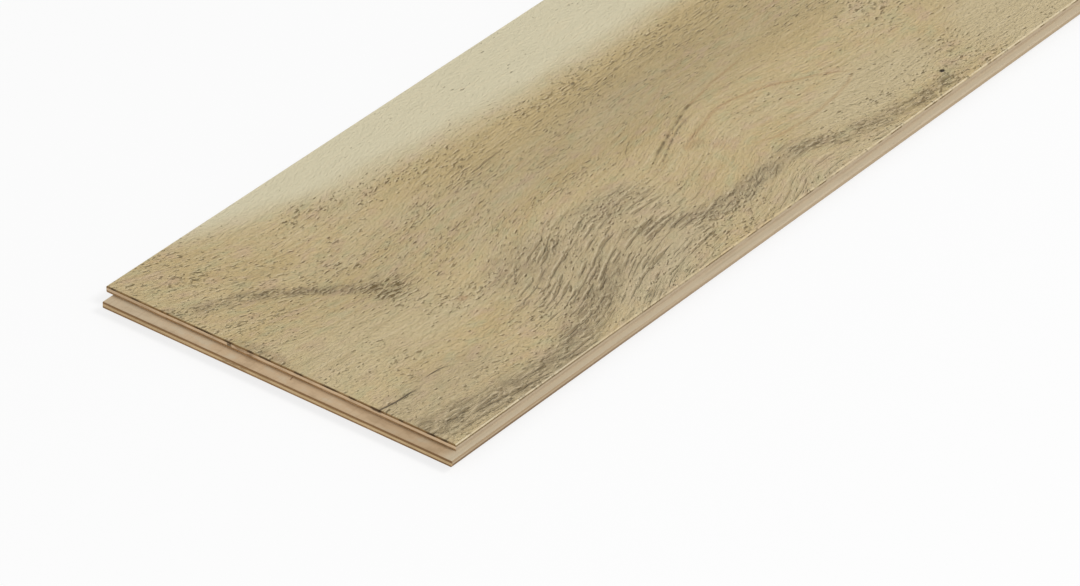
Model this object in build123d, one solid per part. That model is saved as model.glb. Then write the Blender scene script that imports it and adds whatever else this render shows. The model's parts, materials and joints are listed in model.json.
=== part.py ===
from build123d import *
import os

# Engineered floorboard: cross-laid plies pressed into one panel, then milled to tongue and groove on every edge.
# X runs across the board, Y along it and Z up. The origin is the middle of the underside, below the face's middle.

# Face, as laid
face_width = 190.0
face_length = 1220.0

# Plies
wear_thickness = 1.0
cross_ply_thickness = 1.4
long_ply_thickness = 1.75
centre_ply_thickness = 1.2
backing_thickness = 1.0

# Tongues
upper_shoulder = 3.2
tongue_thickness = 3.2
long_tongue_reach = 3.6
end_tongue_reach = 6.8
long_nose_upper_chamfer = 0.5
long_nose_lower_chamfer = 1.0
end_nose_chamfer = 0.25

# Grooves, milled to take the same tongues
groove_play_below = 0.2
groove_play_at_bottom = 0.2
groove_lead_in = 0.3

# Edges
long_edge_bevel = 0.5
end_edge_bevel = 0.2
lower_shoulder_set_back = 0.3

# Splinter torn from the upper cross ply at the near end
break_out_from_left = 68.4
break_out_width = 2.6
break_out_depth = 1.6

# Heights of the glue lines above the underside
lower_cross_bottom = backing_thickness
lower_long_bottom = lower_cross_bottom + cross_ply_thickness
centre_bottom = lower_long_bottom + long_ply_thickness
centre_top = centre_bottom + centre_ply_thickness
upper_cross_bottom = centre_top + long_ply_thickness
wear_bottom = upper_cross_bottom + cross_ply_thickness
board_thickness = wear_bottom + wear_thickness

# The tongue bears on the groove's upper lip, so that neighbouring faces come flush, and all the play is below it
tongue_top = board_thickness - upper_shoulder
tongue_bottom = tongue_top - tongue_thickness
groove_top = tongue_top
groove_bottom = tongue_bottom - groove_play_below


def milled_section(face, reach, upper_chamfer, lower_chamfer, edge_bevel):
    """Section across a pair of edges: the tongue is on the positive side, its groove on the negative side."""
    edge = face / 2
    nose = edge + reach
    lower_shoulder = edge - lower_shoulder_set_back
    groove_end = reach + groove_play_at_bottom - edge
    outline = Polyline(
        (edge - edge_bevel, board_thickness),
        (edge, board_thickness - edge_bevel),
        (edge, tongue_top),
        (nose - upper_chamfer, tongue_top),
        (nose, tongue_top - upper_chamfer),
        (nose, tongue_bottom + lower_chamfer),
        (nose - lower_chamfer, tongue_bottom),
        (lower_shoulder, tongue_bottom),
        (lower_shoulder, 0),
        (-edge, 0),
        (-edge, groove_bottom - groove_lead_in),
        (groove_lead_in - edge, groove_bottom),
        (groove_end, groove_bottom),
        (groove_end, groove_top),
        (groove_lead_in - edge, groove_top),
        (-edge, groove_top + groove_lead_in),
        (-edge, board_thickness - edge_bevel),
        (edge_bevel - edge, board_thickness),
        close=True,
    )
    return make_face(outline)


# Long edges: tongue on +X, groove on -X
long_section = milled_section(
    face_width, long_tongue_reach, long_nose_upper_chamfer, long_nose_lower_chamfer, long_edge_bevel
)
long_milled = extrude(Plane.XZ * long_section, amount=face_length, both=True)

# Ends: tongue on -Y, groove on +Y
end_section = milled_section(face_length, end_tongue_reach, end_nose_chamfer, end_nose_chamfer, end_edge_bevel)
end_milled = extrude(Plane.YZ * mirror(end_section, about=Plane.YZ), amount=face_width, both=True)

# Both pairs of cutters run right through, so each groove also trims the tongue that crosses it
board = long_milled & end_milled

# Torn notch: steep on one side and sloping on the other, as a splinter lifts
near_end = -face_length / 2
break_out_x = break_out_from_left - face_width / 2
break_out_outline = Polyline(
    (break_out_x - break_out_width / 2, near_end),
    (break_out_x + break_out_width / 2, near_end),
    (break_out_x - break_out_width / 4, near_end + break_out_depth),
    close=True,
)
break_out = extrude(make_face(break_out_outline), amount=cross_ply_thickness)
board = board - Pos(0, 0, upper_cross_bottom) * break_out

# Each long ply is milled to a step at the tongue, and its two sides of that step are separate nodes
levels = [
    ("wear_layer", board_thickness, wear_bottom),
    ("upper_cross_ply", wear_bottom, upper_cross_bottom),
    ("upper_long_ply_lip", upper_cross_bottom, tongue_top),
    ("upper_long_ply_tongue", tongue_top, centre_top),
    ("centre_cross_ply", centre_top, centre_bottom),
    ("lower_long_ply_tongue", centre_bottom, tongue_bottom),
    ("lower_long_ply_lip", tongue_bottom, lower_long_bottom),
    ("lower_cross_ply", lower_long_bottom, lower_cross_bottom),
    ("backing_veneer", lower_cross_bottom, 0),
]
from_bottom = (Align.CENTER, Align.CENTER, Align.MIN)
os.makedirs("parts", exist_ok=True)
for name, top, bottom in levels:
    slice_of_board = Pos(0, 0, bottom) * Box(2 * face_width, 2 * face_length, top - bottom, align=from_bottom)
    export_step(board & slice_of_board, f"parts/{name}.step")
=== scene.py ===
import json
import math

import bmesh
import bpy
import numpy as np
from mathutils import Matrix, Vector


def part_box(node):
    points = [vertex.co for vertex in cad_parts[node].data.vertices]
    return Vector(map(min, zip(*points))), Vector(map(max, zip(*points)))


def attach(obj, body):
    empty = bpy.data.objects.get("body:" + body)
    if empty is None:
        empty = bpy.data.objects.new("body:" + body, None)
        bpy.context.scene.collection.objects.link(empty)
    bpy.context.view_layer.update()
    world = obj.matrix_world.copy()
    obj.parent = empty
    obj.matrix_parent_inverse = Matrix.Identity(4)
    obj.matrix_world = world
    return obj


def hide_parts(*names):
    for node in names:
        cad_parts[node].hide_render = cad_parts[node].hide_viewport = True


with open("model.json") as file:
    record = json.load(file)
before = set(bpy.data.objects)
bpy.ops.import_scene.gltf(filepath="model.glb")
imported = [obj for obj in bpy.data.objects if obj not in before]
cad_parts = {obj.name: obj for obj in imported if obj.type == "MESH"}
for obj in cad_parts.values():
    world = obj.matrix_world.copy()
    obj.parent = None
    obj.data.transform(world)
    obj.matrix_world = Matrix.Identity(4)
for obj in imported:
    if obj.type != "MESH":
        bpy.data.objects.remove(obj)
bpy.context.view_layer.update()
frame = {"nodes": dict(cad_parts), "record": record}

# The board in millimetres, measured along from the near end and across from the left edge of the face
face_length = 1220.0
face_width = 190.0
long_edge_bevel = 0.5
end_edge_bevel = 0.2
face_top = 9.5
wear_bottom = 8.5
upper_cross_bottom = 7.1
tongue_top = 6.3
centre_top = 5.35
centre_bottom = 4.15

# Brushed relief of the face
relief_columns = 236
relief_rows = 374
relief_depth = 0.09
ridge_width = 5.0
ridge_length = 90.0

# How far the grain drifts across the board on its way along it, at the left and at the right of the change
drift_change_start = 55.0
drift_change_width = 60.0
left_grain_drift = [
    (0, 0), (30, 11), (55, 19), (80, 22), (110, 20), (140, 15), (175, 11), (260, 9), (400, 4), (620, 12),
    (850, -6), (1220, 4),
]
right_grain_drift = [
    (0, 0), (40, 3), (85, 6), (105, 4), (130, -5), (155, -15), (180, -21), (210, -24), (235, -31), (262, -40),
    (290, -38), (330, -30), (450, -26), (620, -14), (800, -27), (1000, -12), (1220, -18),
]

# Figure of the face, as lines that run along it. Curves reach from a margin left of the face across a span.
curve_margin = 30.0
curve_span = 250.0
sapwood_edge = [
    (0, -18), (40, -3), (60, 7), (90, 18), (115, 26), (150, 32), (195, 38), (230, 42), (330, 45), (420, 42),
    (560, 27), (700, 12), (860, -4), (1000, -16), (1220, -18),
]
brown_band = [(110, 50), (170, 56), (230, 60), (330, 63), (460, 66)]
slant_streak = [(0, 37), (16, 46), (30, 53), (39, 60), (48, 68), (56, 77), (64, 84), (71, 91), (79, 99)]
right_streak = [
    (165, 148), (178, 153), (192, 160), (205, 166), (220, 168), (243, 166), (264, 164), (275, 167),
    (287, 174), (301, 178), (315, 180), (325, 181), (334, 184), (352, 184), (362, 182), (372, 179),
    (380, 171),
]
near_edge_streak = [
    (0, 175), (20, 178), (36, 182), (52, 183), (72, 186), (90, 182), (104, 176), (120, 170), (138, 160),
]
curl_line = [
    (215, 126), (222, 122), (230, 118.5), (240, 115), (250, 111.5), (260, 108.5), (267, 106.5), (276, 108),
    (296, 110), (322, 112),
]
curl_line_below = [(213, 131), (220, 127.5), (227, 124), (236, 119.5), (246, 115.5), (258, 112)]
curl_line_above = [(196, 118), (214, 113), (222, 106), (242, 100)]
rust_line = [(260, 108), (277, 105), (289, 103), (300, 102), (316, 101)]
middle_pore_line = [(163, 66), (175, 65), (190, 64)]
ring_upper = [
    (236, 129), (246, 124), (260, 121), (275, 118), (292, 121), (305, 126), (318, 133), (328, 139),
    (336, 147),
]
ring_lower = [(243, 134), (258, 146), (275, 153), (296, 154), (311, 153), (325, 151), (336, 147)]
end_tears = [
    (4, 2), (16, 3), (54, 6), (68, 3), (80, 2), (88, 4), (106, 3), (123, 5), (135, 2.5), (148, 4), (161, 1.5),
    (177, 3), (184, 2.5),
]
end_split = [(0, 150), (10, 151), (24, 152)]
short_split = [(28, 149), (38, 150), (46, 153)]

# Colours
sapwood_cream = (208, 199, 169)
heartwood_tan = (196, 176, 133)
heartwood_brown = (191, 169, 123)
heartwood_pale = (196, 179, 141)
heartwood_orange = (194, 166, 121)
heartwood_olive = (183, 173, 132)
heartwood_pink = (194, 168, 136)
# Pale flecks of fibre and nap, and painted highlights beside pores and furrows
fleck_and_highlight_pale = (218, 202, 168)
curl_grey = (185, 169, 138)
ring_red = (172, 138, 98)
streak_grey = (120, 105, 80)
pore_brown = (100, 82, 47)
split_black = (44, 34, 23)
end_grain_brown = (132, 102, 62)
# Painted highlight for the upper bevel of the long edges
bevel_painted_highlight = (212, 198, 170)
wear_side_tan = (184, 168, 139)
cross_ply_end_pale = (221, 195, 161)
lip_end_brown = (164, 129, 88)
nose_end_brown = (142, 110, 72)
nose_end_tan = (197, 169, 127)
# Dark nose edges, cracks, splinters and chips, and painted shade at the root of the end ledge
nose_edge_and_painted_shade_brown = (104, 74, 43)
end_ledge_pink = (190, 165, 133)
side_ledge_pale = (191, 176, 150)
ply_side_pale = (189, 172, 147)
nose_side_tan = (182, 162, 133)
nose_side_brown = (146, 120, 88)
backing_tan = (186, 166, 132)
# Glue lines, streaks and blotches, and painted shade at the root of the end ledge
glue_and_painted_shade_brown = (112, 86, 55)


def paint(steps):
    """A colour written in sRGB steps, as the linear numbers that a socket takes."""
    shares = np.array(steps) / 255
    linear = np.where(shares <= 0.04045, shares / 12.92, ((shares + 0.055) / 1.055) ** 2.4)
    return (*linear.tolist(), 1.0)


class Shade:
    """A socket in a node tree. Python's operators on it add Math nodes."""

    def __init__(self, tree, socket=None):
        self.tree = tree
        self.socket = socket

    def add(self, kind, settings, sockets, output=0):
        """Add any node: its settings first, then the values or links of its sockets."""
        node = self.tree.nodes.new(kind)
        for name, setting in settings.items():
            if name == "points":
                lay_curve(node.mapping, setting)
            else:
                setattr(node, name, setting)
        for name, value in sockets.items():
            if isinstance(value, Shade):
                self.tree.links.new(value.socket, node.inputs[name])
            else:
                node.inputs[name].default_value = value
        if node.outputs:
            return Shade(self.tree, node.outputs[output])

    def math(self, operation, first, second=0.0):
        return self.add("ShaderNodeMath", {"operation": operation}, {0: first, 1: second})

    def __add__(self, other):
        return self.math("ADD", self, other)

    def __radd__(self, other):
        return self.math("ADD", other, self)

    def __sub__(self, other):
        return self.math("SUBTRACT", self, other)

    def __rsub__(self, other):
        return self.math("SUBTRACT", other, self)

    def __mul__(self, other):
        return self.math("MULTIPLY", self, other)

    def __truediv__(self, other):
        return self.math("DIVIDE", self, other)

    def __abs__(self):
        return self.math("ABSOLUTE", self)

    def __or__(self, other):
        return self.math("MAXIMUM", self, other)

    def rise(self, low, high):
        """Eases from 0 at low to 1 at high, whichever is the larger."""
        return self.add(
            "ShaderNodeMapRange",
            {"interpolation_type": "SMOOTHSTEP"},
            {"Value": self, "From Min": low, "From Max": high},
        )

    def split(self):
        """The three numbers of a vector."""
        parts = self.tree.nodes.new("ShaderNodeSeparateXYZ")
        self.tree.links.new(self.socket, parts.inputs[0])
        return [Shade(self.tree, socket) for socket in parts.outputs]

    def line_across(self, points):
        """Where a drawn line lies across the board, at this distance along it."""
        laid = [(far / face_length, (wide + curve_margin) / curve_span) for far, wide in points]
        height = self.add("ShaderNodeFloatCurve", {"points": laid}, {"Value": self / face_length})
        return height * curve_span - curve_margin

    def noise(self, first, second, seed, detail=2.0, roughness=0.5):
        """Soft noise of about one wave per unit of the two numbers."""
        at = self.add("ShaderNodeCombineXYZ", {}, {0: first, 1: second, 2: seed})
        return self.add(
            "ShaderNodeTexNoise",
            {},
            {"Vector": at, "Scale": 1.0, "Detail": detail, "Roughness": roughness},
        )

    def over(self, under, colour, mask):
        """One colour laid over another where the mask is 1."""
        return self.add(
            "ShaderNodeMix",
            {"data_type": "RGBA", "clamp_factor": True},
            {0: mask, 6: under, 7: paint(colour)},
            2,
        )


def lay_curve(mapping, points):
    """Draw a curve through the points, held level past its ends."""
    mapping.extend = "HORIZONTAL"
    curve = mapping.curves[0]
    curve.points[0].location = points[0]
    curve.points[1].location = points[-1]
    for point in points[1:-1]:
        curve.points.new(*point)
    for point in curve.points:
        point.handle_type = "AUTO_CLAMPED"
    mapping.update()


def new_material(name):
    """A material with no nodes yet."""
    material = bpy.data.materials.new(name)
    material.use_nodes = True
    material.node_tree.nodes.clear()
    return material, Shade(material.node_tree)


def close_material(shade, colour, roughness, height, bump_depth):
    """The surface itself, from a colour, a roughness and a height that stands for bump_depth in metres."""
    normal = shade.add("ShaderNodeBump", {}, {"Distance": bump_depth, "Height": height})
    surface = shade.add(
        "ShaderNodeBsdfPrincipled",
        {},
        {"Base Color": colour, "Roughness": roughness, "Normal": normal, "Specular IOR Level": 0.2},
    )
    shade.add("ShaderNodeOutputMaterial", {}, {"Surface": surface})


def board_places(shade):
    """Distances in millimetres along the board, across it and up from its underside."""
    x, y, z = shade.add("ShaderNodeTexCoord", {}, {}, "Object").split()
    return y * 1000 + face_length / 2, x * 1000 + face_width / 2, z * 1000


def surface_turns(shade):
    """How far a surface faces along, across and up, each from 0 to 1."""
    x, y, z = shade.add("ShaderNodeTexCoord", {}, {}, "Normal").split()
    return abs(y), abs(x), abs(z)


def chipped_edge(shade, along):
    """Where the long edges are chipped below the face: in places, and all along the near part."""
    return shade.noise(along / 11, 0.9, 38.4, 2.0).rise(0.48, 0.56) | along.rise(190, 80) * 0.85


def brushed_hardwood():
    """The face: cream sapwood beside tan heartwood, dark streaks, wandering grain and open pores."""
    material, shade = new_material("brushed_hardwood")
    along, across, up = board_places(shade)
    facing_end, facing_side, facing_up = surface_turns(shade)
    ridge = shade.add("ShaderNodeUVMap", {"uv_map": "grain"}, {}).split()[0]
    wander = shade.noise(along / 26, across / 11, 3.0, 3.0) - 0.5
    ruffle = shade.noise(along / 6, across / 2.5, 8.0, 2.0) - 0.5
    grain = ridge * ridge_width + ruffle * 0.9

    def streak(points, half_width, start, end, fade, waver=5.0):
        """A soft line along the face, from its start to its end."""
        off = abs(across + wander * waver - along.line_across(points)) / half_width
        begun = along.rise(start - fade, start + fade)
        unfinished = along.rise(end + fade, end - fade)
        return off.rise(1.25, 0.15) * begun * unfinished

    def patch(far, wide, length, width):
        """A soft oval on the face."""
        outward = (along - far) / length
        sideways = (across + wander * 6 - wide) / width
        return (outward * outward + sideways * sideways).rise(1.3, 0.2)

    # Broad tone
    broad = shade.noise(grain / 26, along / 90, 11.0, 3.0)
    mottle = shade.noise(grain / 7, along / 13, 14.0, 3.0)
    blush = shade.noise(grain / 4, along / 6, 15.0, 3.0)
    colour = shade.over(paint(heartwood_tan), heartwood_brown, broad.rise(0.46, 0.7))
    colour = shade.over(colour, heartwood_pale, broad.rise(0.5, 0.3))
    colour = shade.over(colour, heartwood_olive, mottle.rise(0.48, 0.3) * 0.7)
    colour = shade.over(colour, heartwood_pink, mottle.rise(0.5, 0.7) * 0.7)
    colour = shade.over(colour, heartwood_orange, blush.rise(0.52, 0.7) * 0.4)
    pale_wood = patch(330, 160, 55, 18) | patch(425, 172, 42, 30) | patch(40, 118, 55, 26) * 0.6
    brown_wood = streak(brown_band, 16.0, 130, 460, 40) | patch(345, 104, 45, 12) * 0.7
    colour = shade.over(colour, heartwood_pale, pale_wood)
    colour = shade.over(colour, heartwood_brown, brown_wood)

    # Rust-coloured rings and spots
    ring = streak(ring_upper, 1.3, 242, 334, 6, 2.5) | streak(ring_lower, 1.3, 262, 334, 8, 2.5) * 0.8
    ring = ring | patch(243, 128, 7, 4) * 0.8 | patch(250, 138, 4, 3) * 0.6 | patch(86, 124, 3, 2)
    ring = ring | streak(rust_line, 0.9, 264, 312, 6, 2.0)
    colour = shade.over(colour, ring_red, ring * 0.5)

    # Sapwood along the left edge, and fine fibre in all the wood
    sapwood = (across + wander * 9 - along.line_across(sapwood_edge)).rise(13, -12)
    colour = shade.over(colour, sapwood_cream, sapwood)
    heartwood = 1 - sapwood
    fibre = shade.noise(grain / 1.6, along / 30, 33.0, 3.0)
    colour = shade.over(colour, pore_brown, fibre.rise(0.5, 0.75) * (0.23 - sapwood * 0.17))
    colour = shade.over(colour, fleck_and_highlight_pale, fibre.rise(0.5, 0.25) * 0.28)

    # Dark streaks, as soft stains, and the greyer wood where the grain curls
    uneven = shade.noise(along / 9, across / 5, 19.0, 3.0).rise(0.32, 0.66)
    clots = shade.noise(along / 8, across / 30, 20.0, 1.0).rise(0.4, 0.6)
    clump = patch(72, 93, 14, 13)
    stain = streak(slant_streak, 6.5, 22, 74, 14) | streak(slant_streak, 7.0, -30, 40, 14) * 0.65
    edge_stain = streak(near_edge_streak, 12.0, -30, 150, 25)
    wave = streak(right_streak, 7.0, 172, 258, 12) * 0.9 | streak(right_streak, 7.0, 258, 290, 8) * 0.95
    wave = wave | streak(right_streak, 6.5, 290, 368, 10) * (0.4 + clots * 0.55)
    wave = wave | patch(181, 128, 24, 13) * 0.45
    far_wave = along.rise(255, 285)
    curl = patch(150, 155, 66, 42) | patch(270, 184, 70, 14) * 0.5
    curl = curl | wave * (1 - far_wave * 0.7) | edge_stain * 0.8
    curl = curl * (heartwood * 0.9 + 0.1)
    grey_corner = patch(25, 160, 50, 18) * 0.7
    faint = clump * 0.35 | patch(0, 86, 7, 22) * 0.6
    faint = faint | patch(124, 128, 24, 18) * 0.5 | patch(30, 157, 40, 12) * 0.3
    dark = (wave | stain * 1.25 | edge_stain * 1.1 | faint) * (0.25 + uneven * 0.75)
    colour = shade.over(colour, curl_grey, (curl | edge_stain | grey_corner) * 0.5)
    colour = shade.over(colour, streak_grey, dark * 0.6)

    def furrows_at(sideways):
        """Furrows where the grain curls, moved sideways by some millimetres."""
        return shade.noise((grain + sideways) / 2.1, along / 21, 5.0, 1.3, 0.6).rise(0.53, 0.66) * curl

    # Curled grain: dark furrows, each with a painted highlight on its lit left side, and fine lines beside
    # them
    fine_lines = streak(curl_line, 1.0, 226, 270, 6, 2.0) | streak(curl_line, 0.6, 270, 318, 6, 2.0) * 0.5
    fine_lines = fine_lines | streak(curl_line_below, 0.8, 222, 258, 6, 2.0) * 0.8
    fine_lines = fine_lines | streak(curl_line_above, 0.6, 200, 240, 8, 2.0) * 0.4
    unbroken = shade.noise(along / 5, across / 5, 44.0, 1.0).rise(0.4, 0.6)
    fine_lines = fine_lines * (0.35 + unbroken * 0.65)
    fine_lines = fine_lines | streak(middle_pore_line, 0.7, 166, 186, 3, 1.0) * 0.65
    furrows = furrows_at(0.0) | fine_lines * 0.9
    furrow_painted_highlights = furrows_at(1.1) * (1 - furrows)
    colour = shade.over(colour, pore_brown, furrows * 0.45 | fine_lines * 0.7)
    colour = shade.over(colour, fleck_and_highlight_pale, furrow_painted_highlights * 0.45)

    # Pores, in drifts, each with a painted highlight on its lit left side
    drifts = shade.noise(grain / 16, along / 45, 27.0, 3.0)
    smooth_middle = patch(285, 132, 95, 48) | patch(425, 160, 40, 50) * 0.6
    smooth_spots = patch(265, 183, 45, 14) | patch(28, 118, 42, 42)
    plain_far_part = along.rise(430, 620)
    crowd = drifts * 0.3 - edge_stain * 0.04 - sapwood * 0.1 - smooth_middle * 0.06 - 0.16
    crowd = crowd - plain_far_part * 0.05 - smooth_spots * 0.05
    crowd_in_clump = crowd + clump * 0.12
    pore_band = streak(brown_band, 10.0, 150, 400, 40)
    coarse = clump * 0.6 | edge_stain * 0.7 | wave * (0.4 + far_wave * 0.6)
    crowd_in_streaks = crowd + stain * 0.13 + wave * 0.08
    ink = shade.noise(grain / 5, along / 8, 35.0, 1.0).rise(0.35, 0.7)

    def pores_at(sideways):
        """Open pores of three lengths and thick ones in the streaks, moved sideways by some millimetres."""
        moved = grain + sideways
        long_pores = (shade.noise(moved / 1.6, along / 4.2, 4.0, 1.0) + crowd_in_clump).rise(0.62, 0.73)
        short_pores = (shade.noise(moved / 1.3, along / 2.3, 9.0, 1.0) + crowd_in_streaks).rise(0.62, 0.74)
        thin_pores = shade.noise(moved / 1.3, along / 11, 13.0, 2.0).rise(0.58, 0.7) * pore_band
        thick_pores = shade.noise(moved / 2.2, along / 5.0, 12.6, 1.0).rise(0.55, 0.64) * coarse
        return long_pores | short_pores * 0.85 | thin_pores * 0.8 | thick_pores

    pores = pores_at(0.0)
    pore_painted_highlights = pores_at(0.8) * (1 - pores)
    colour = shade.over(colour, pore_brown, pores * (0.38 + (ink | clump) * 0.42 - sapwood * 0.24))
    colour = shade.over(colour, fleck_and_highlight_pale, pore_painted_highlights * 0.5)

    # Nap of the brushing
    nap = shade.noise(grain / 1.1, along / 2.7, 31.0, 2.0, 0.6)
    colour = shade.over(colour, fleck_and_highlight_pale, nap.rise(0.55, 0.8) * 0.4)
    colour = shade.over(colour, pore_brown, nap.rise(0.45, 0.2) * (0.22 - sapwood * 0.15))

    # Splits and pin knots
    splits = streak(end_split, 0.45, -20, 20, 6, 3.0) | streak(short_split, 0.4, 31, 42, 4, 3.0) * 0.7
    pin_knots = patch(360.5, 177.3, 1.4, 1.1) * 1.5 | patch(250, 55.6, 1.3, 0.8) * 0.7
    splits = splits | pin_knots
    colour = shade.over(colour, split_black, splits * 0.7)

    # Eased edges, with a painted highlight on the upper bevel, broken in places and faint over a stretch of
    # the near part, and the chips below them
    bevel_foot = face_top - long_edge_bevel
    sheer = facing_side.rise(0.8, 0.95)
    eased = facing_side.rise(0.3, 0.6) * facing_up.rise(0.3, 0.6)
    chips = chipped_edge(shade, along)
    broken = shade.noise(along / 9, across / 9, 39.0, 3.0).rise(0.3, 0.55)
    highlight_share = 1 - along.rise(60, 130) * along.rise(330, 240) * 0.8
    upper_bevel = eased * up.rise(bevel_foot + 0.02, bevel_foot + 0.2)
    colour = shade.over(colour, bevel_painted_highlight, upper_bevel * (0.25 + broken * 0.5) * highlight_share)
    colour = shade.over(colour, wear_side_tan, sheer * 0.85)
    crease = sheer * up.rise(wear_bottom, wear_bottom + 0.12) * chips
    colour = shade.over(colour, pore_brown, crease * 0.95)

    # End grain, with torn spots at the near end
    at_end = facing_end.rise(0.4, 0.9)
    torn = shade.noise(across / 5, along / 0.7, 40.0, 3.0, 0.7).rise(0.55, 0.7) * 0.6
    near_end = along.rise(40, 20)
    for wide, half_width in end_tears:
        torn = torn | (abs(across - wide) / half_width).rise(1.2, 0.4) * near_end
    streaky = shade.noise(across / 9, up / 0.8, 41.0, 3.0)
    colour = shade.over(colour, end_grain_brown, at_end)
    colour = shade.over(colour, heartwood_orange, at_end * streaky.rise(0.5, 0.75) * 0.4)
    colour = shade.over(colour, split_black, at_end * torn * 0.7)

    height = nap * (0.62 - sapwood * 0.3) - pores * 0.3 - furrows * 0.35 - splits * 0.5
    close_material(shade, colour, 0.6 + pores * 0.2, height, 0.0025)
    return material


def ply(name, crosswise, flat_colour):
    """A core ply or the backing, with its grain across the board or along it."""
    material, shade = new_material(name)
    along, across, up = board_places(shade)
    facing_end, facing_side, facing_up = surface_turns(shade)
    at_end = facing_end.rise(0.5, 0.9)
    at_side = facing_side.rise(0.75, 0.9)
    chamfer = facing_side.rise(0.5, 0.65) * facing_up.rise(0.5, 0.65)
    in_tongue = up.rise(tongue_top + 0.02, tongue_top - 0.02)
    near = along.rise(240, 30)
    blotch = shade.noise(across / 11, along / 5, 16.0, 3.0)
    end_blotch = shade.noise(across / 13, up / 2, 17.0, 3.0)
    if crosswise:
        flat_streaks = shade.noise(across / 40, along / 1.3, 2.0, 3.0)
        end_streaks = shade.noise(across / 30, up / 0.3, 2.0, 3.0)
        side_streaks = shade.noise(along / 1.6, up / 0.8, 2.0, 3.0)
    else:
        flat_streaks = shade.noise(across / 1.3, along / 40, 6.0, 3.0)
        end_streaks = shade.noise(across / 2.2, up / 0.9, 6.0, 3.0)
        side_streaks = shade.noise(along / 30, up / 0.3, 6.0, 3.0)

    # Ledge of the end tongue, with painted shade at its root under the shoulder, worn at its edge, and with
    # one crack
    ledge = along.rise(0.3, -0.3) * across.rise(face_width + 2.5, face_width - 6)
    colour = shade.over(paint(flat_colour), end_ledge_pink, ledge * (0.4 + across.rise(20, 70) * 0.6))
    colour = shade.over(colour, side_ledge_pale, ledge * blotch.rise(0.5, 0.65) * 0.65)
    colour = shade.over(colour, glue_and_painted_shade_brown, ledge * blotch.rise(0.5, 0.35) * 0.2)
    colour = shade.over(colour, glue_and_painted_shade_brown, ledge * across.rise(135, 165) * 0.19)
    # Painted shade along the root of the ledge, where the shoulder above shades it
    colour = shade.over(colour, glue_and_painted_shade_brown, ledge * along.rise(-3.4, 0.0) * 0.12)
    colour = shade.over(colour, nose_edge_and_painted_shade_brown, ledge * along.rise(-2.6, 0.0) * (0.15 + blotch * 0.2))
    colour = shade.over(colour, glue_and_painted_shade_brown, ledge * along.rise(-5.7, -6.6) * 0.12)
    crack = abs(across - 103 + along * 0.3).rise(0.5, 0.1) * along.rise(-3.0, -2.0) * ledge
    colour = shade.over(colour, nose_edge_and_painted_shade_brown, crack * 0.7)
    colour = shade.over(colour, glue_and_painted_shade_brown, flat_streaks.rise(0.5, 0.8) * 0.22)

    # Ends
    colour = shade.over(colour, cross_ply_end_pale if crosswise else lip_end_brown, at_end)
    colour = shade.over(colour, nose_end_tan if crosswise else nose_end_brown, at_end * in_tongue)
    colour = shade.over(colour, cross_ply_end_pale, at_end * end_blotch.rise(0.5, 0.7) * 0.25)
    colour = shade.over(colour, glue_and_painted_shade_brown, at_end * end_blotch.rise(0.5, 0.3) * 0.3)
    streak_strength = 0.3 if crosswise else 0.5
    colour = shade.over(colour, glue_and_painted_shade_brown, at_end * end_streaks.rise(0.5, 0.75) * streak_strength)
    colour = shade.over(colour, glue_and_painted_shade_brown, at_end * across.rise(60, 0) * 0.22)
    if crosswise:
        at_near_end = at_end * along.rise(40, 20)
        splintered = shade.noise(across / 3, up / 0.4, 46.0).rise(0.4, 0.55)
        splinters = across.rise(69, 71) * across.rise(85, 80) * splintered
        hole = (abs(across - 148) / 3.5).rise(1.0, 0.4) * up.rise(wear_bottom - 0.8, wear_bottom - 0.2)
        colour = shade.over(colour, nose_edge_and_painted_shade_brown, at_near_end * splinters * 0.6)
        colour = shade.over(colour, split_black, at_near_end * hole * 0.8)
    else:
        colour = shade.over(colour, glue_and_painted_shade_brown, at_end * across.rise(140, 180) * 0.5)
    nose_edge = facing_end.rise(0.4, 0.6) * in_tongue * up.rise(tongue_top - 0.55, tongue_top - 0.3)
    colour = shade.over(colour, nose_edge_and_painted_shade_brown, nose_edge * (0.45 + end_blotch * 0.5))

    # Long sides
    colour = shade.over(colour, ply_side_pale, at_side)
    colour = shade.over(colour, nose_side_tan, at_side * in_tongue)
    colour = shade.over(colour, nose_side_brown, chamfer * in_tongue * (0.15 + near * 0.6))
    below_centre = up.rise(centre_top, centre_top - 0.5)
    colour = shade.over(colour, nose_edge_and_painted_shade_brown, at_side * below_centre * (near * 0.65 + 0.12))
    colour = shade.over(colour, glue_and_painted_shade_brown, at_side * side_streaks.rise(0.5, 0.8) * 0.25)

    # Chips below the face, and glue lines
    chips = at_side * up.rise(wear_bottom - 0.3, wear_bottom - 0.1) * chipped_edge(shade, along)
    colour = shade.over(colour, nose_edge_and_painted_shade_brown, chips * 0.7)
    dashed = shade.noise(across / 7 + along / 7, up / 3, 25.0, 2.0).rise(0.35, 0.55)
    glue = abs(up - upper_cross_bottom).rise(0.14, 0.04) | abs(up - wear_bottom).rise(0.2, 0.05)
    glue = glue | abs(up - centre_top).rise(0.12, 0.03) | abs(up - centre_bottom).rise(0.12, 0.03)
    colour = shade.over(colour, glue_and_painted_shade_brown, glue * dashed * (at_end | at_side) * 0.4)

    height = flat_streaks * facing_up + end_streaks * at_end + side_streaks * at_side
    close_material(shade, colour, 0.75, height, 0.00012)
    return material


def drift_at(points, places):
    """Smooth reading of a drift's points, level past its ends."""
    far, wide = np.array(points, float).T
    slopes = np.gradient(wide, far)
    places = np.clip(places, far[0], far[-1])
    step = np.clip(np.searchsorted(far, places, side="right") - 1, 0, len(far) - 2)
    gap = far[step + 1] - far[step]
    part = (places - far[step]) / gap
    rest = 1 - part
    start = wide[step] * (1 + 2 * part) * rest**2 + slopes[step] * gap * part * rest**2
    end = wide[step + 1] * (3 - 2 * part) * part**2 - slopes[step + 1] * gap * rest * part**2
    return start + end


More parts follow.
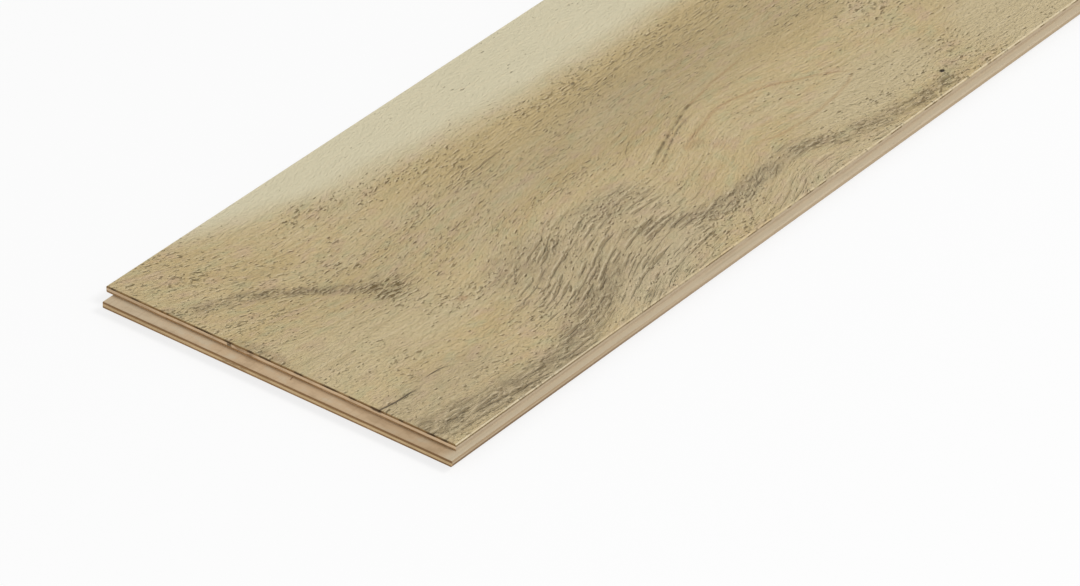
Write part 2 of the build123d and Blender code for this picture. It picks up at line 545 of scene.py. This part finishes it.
def lay_grain_map(piece):
    """A UV map whose unit is a ridge's width across the grain and a ridge's length along it."""
    mesh = piece.data
    mesh.uv_layers.remove(mesh.uv_layers[0])
    grain_map = mesh.uv_layers.new(name="grain")
    corners = np.zeros(len(mesh.loops), int)
    mesh.loops.foreach_get("vertex_index", corners)
    points = np.zeros(len(mesh.vertices) * 3)
    mesh.vertices.foreach_get("co", points)
    points = points.reshape(-1, 3)[corners] * 1000
    across = points[:, 0] + face_width / 2
    along = points[:, 1] + face_length / 2
    right_share = np.clip((across - drift_change_start) / drift_change_width, 0, 1)
    right_share = right_share**2 * (3 - 2 * right_share)
    left_drift = drift_at(left_grain_drift, along)
    right_drift = drift_at(right_grain_drift, along)
    drift = left_drift * (1 - right_share) + right_drift * right_share
    laid = np.column_stack(((across - drift) / ridge_width, along / ridge_length))
    grain_map.data.foreach_set("uv", laid.ravel())


def select_vertices(piece, wanted):
    """In edit mode, select the vertices whose places pass, with the edges and faces between them."""
    bpy.ops.mesh.select_mode(type="VERT")
    bpy.ops.mesh.select_all(action="DESELECT")
    shape = bmesh.from_edit_mesh(piece.data)
    for vertex in shape.verts:
        vertex.select_set(wanted(vertex.co))
    shape.select_flush_mode()
    bmesh.update_edit_mesh(piece.data)


def brushed_face():
    """The wear layer, with eased edges and a face that is brushed into low ridges along its grain."""
    low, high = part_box("wear_layer")
    middle = (low + high) / 2
    bevel = Vector((long_edge_bevel, end_edge_bevel, 0)) / 1000
    size = high - low
    flat = size - 2 * bevel
    slack = 1e-5
    unbrushed_rim = 5e-4
    bpy.ops.object.select_all(action="DESELECT")
    bpy.ops.mesh.primitive_grid_add(
        x_subdivisions=relief_columns,
        y_subdivisions=relief_rows,
        size=1,
        location=(middle.x, middle.y, high.z),
    )
    face = bpy.context.object
    face.name = "brushed_face"
    face.scale = (flat.x, flat.y, 1)
    bpy.ops.object.transform_apply(location=True, rotation=True, scale=True)
    lay_grain_map(face)

    # Eased edges, then straight sides and the underside
    bpy.ops.object.mode_set(mode="EDIT")
    bpy.ops.mesh.select_mode(type="EDGE")
    bpy.ops.mesh.select_all(action="DESELECT")
    bpy.ops.mesh.select_non_manifold()
    bpy.ops.mesh.extrude_edges_move(TRANSFORM_OT_translate={"value": (0, 0, -end_edge_bevel / 1000)})
    bpy.ops.transform.resize(value=(size.x / flat.x, size.y / flat.y, 1), center_override=middle)
    select_vertices(face, lambda place: abs(place.x - middle.x) > size.x / 2 - slack)
    bpy.ops.transform.translate(value=(0, 0, (end_edge_bevel - long_edge_bevel) / 1000))
    bpy.ops.mesh.select_mode(type="EDGE")
    bpy.ops.mesh.select_all(action="DESELECT")
    bpy.ops.mesh.select_non_manifold()
    bpy.ops.mesh.extrude_edges_move(TRANSFORM_OT_translate={"value": (0, 0, -size.z)})
    bpy.ops.transform.resize(value=(1, 1, 0), center_override=(middle.x, middle.y, low.z))
    bpy.ops.mesh.edge_face_add()
    bpy.ops.mesh.select_all(action="SELECT")
    bpy.ops.mesh.normals_make_consistent(inside=False)
    bpy.ops.object.mode_set(mode="OBJECT")

    # Brushing, in the flat of the face only
    ridges = bpy.data.textures.new("brushed_ridges", "CLOUDS")
    ridges.noise_scale = 0.8
    ridges.noise_depth = 2
    flat_face = face.vertex_groups.new(name="flat_face")
    inside = [
        vertex.index
        for vertex in face.data.vertices
        if vertex.co.z > high.z - slack
        and abs(vertex.co.x - middle.x) < flat.x / 2 - unbrushed_rim
        and abs(vertex.co.y - middle.y) < flat.y / 2 - unbrushed_rim
    ]
    flat_face.add(inside, 1.0, "REPLACE")
    brushing = face.modifiers.new("brushing", "DISPLACE")
    brushing.texture = ridges
    brushing.texture_coords = "UV"
    brushing.uv_layer = "grain"
    brushing.direction = "Z"
    brushing.mid_level = 1.0
    brushing.strength = relief_depth / 1000
    brushing.vertex_group = "flat_face"
    bpy.ops.object.modifier_apply(modifier="brushing")
    bpy.ops.object.shade_smooth_by_angle(angle=math.radians(25))

    face.data.materials.append(brushed_hardwood())
    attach(face, "root")
    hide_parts("wear_layer")


def dress_plies():
    """Give each carried-over ply the material of its grain."""
    woods = {
        "cross_ply": ply("cross_ply_wood", True, side_ledge_pale),
        "long_ply": ply("long_ply_wood", False, side_ledge_pale),
        "backing": ply("backing_wood", False, backing_tan),
    }
    for row in frame["record"]["subparts"]:
        node = frame["nodes"][row["node"]]
        if row["material_slot"] in woods:
            node.data.materials.clear()
            node.data.materials.append(woods[row["material_slot"]])


def seen_directly(shade):
    """1 for what the camera sees, straight or through gloss and glass."""
    rays = shade.add("ShaderNodeLightPath", {}, {}).socket.node.outputs
    camera, glossy, through = (
        Shade(shade.tree, rays[name]) for name in ("Is Camera Ray", "Is Glossy Ray", "Is Transmission Ray")
    )
    return camera | glossy | through


def studio():
    """A white floor, an even dome of light, a soft lamp from the right and a weaker one from the front."""
    world = bpy.data.worlds.new("studio")
    bpy.context.scene.world = world
    world.use_nodes = True
    world.node_tree.nodes.clear()
    shade = Shade(world.node_tree)
    dome = shade.add(
        "ShaderNodeBackground", {}, {"Color": (1, 1, 1, 1), "Strength": 0.5 + seen_directly(shade) * 0.5}
    )
    shade.add("ShaderNodeOutputWorld", {}, {"Surface": dome})

    just_below_board = -0.0002
    bpy.ops.object.select_all(action="DESELECT")
    bpy.ops.mesh.primitive_plane_add(size=16, location=(0, 0, just_below_board))
    floor = bpy.context.object
    floor.name = "floor"
    material, shade = new_material("white_floor")
    matt = shade.add("ShaderNodeBsdfDiffuse", {}, {"Color": (0.86, 0.86, 0.86, 1)})
    bright = shade.add("ShaderNodeEmission", {}, {"Color": (1, 1, 1, 1), "Strength": 1.0})
    mixed = shade.add("ShaderNodeMixShader", {}, {0: seen_directly(shade) * 0.8, 1: matt, 2: bright})
    shade.add("ShaderNodeOutputMaterial", {}, {"Surface": mixed})
    floor.data.materials.append(material)

    lamp("key_lamp", (2.5, 0.0, 3.1), 1.2, 95)
    lamp("fill_lamp", (-0.6, -4.0, 0.9), 1.6, 32)


def lamp(name, place, size, power):
    """A square soft lamp that points at the near half of the board."""
    bpy.ops.object.light_add(type="AREA", location=place)
    light = bpy.context.object
    light.name = name
    light.data.size = size
    light.data.energy = power
    near_half = Vector((0.03, -0.45, 0))
    aim = near_half - Vector(place)
    light.rotation_euler = aim.to_track_quat("-Z", "Y").to_euler()


def photograph_camera():
    """A long lens that looks down on the near end."""
    turn = math.radians(38.243)
    height = math.radians(33.613)
    distance = 2.71715
    target = Vector((0.0527, -0.50093, 0.0095))
    away = Vector((math.sin(turn) * math.cos(height), -math.cos(turn) * math.cos(height), math.sin(height)))
    bpy.ops.object.camera_add(location=target + away * distance)
    camera = bpy.context.object
    camera.data.sensor_width = 36
    camera.data.lens = 214.47
    camera.rotation_euler = (-away).to_track_quat("-Z", "Y").to_euler()
    bpy.context.scene.camera = camera


bpy.context.scene.view_settings.view_transform = "Standard"
photograph_camera()
studio()
brushed_face()
dress_plies()
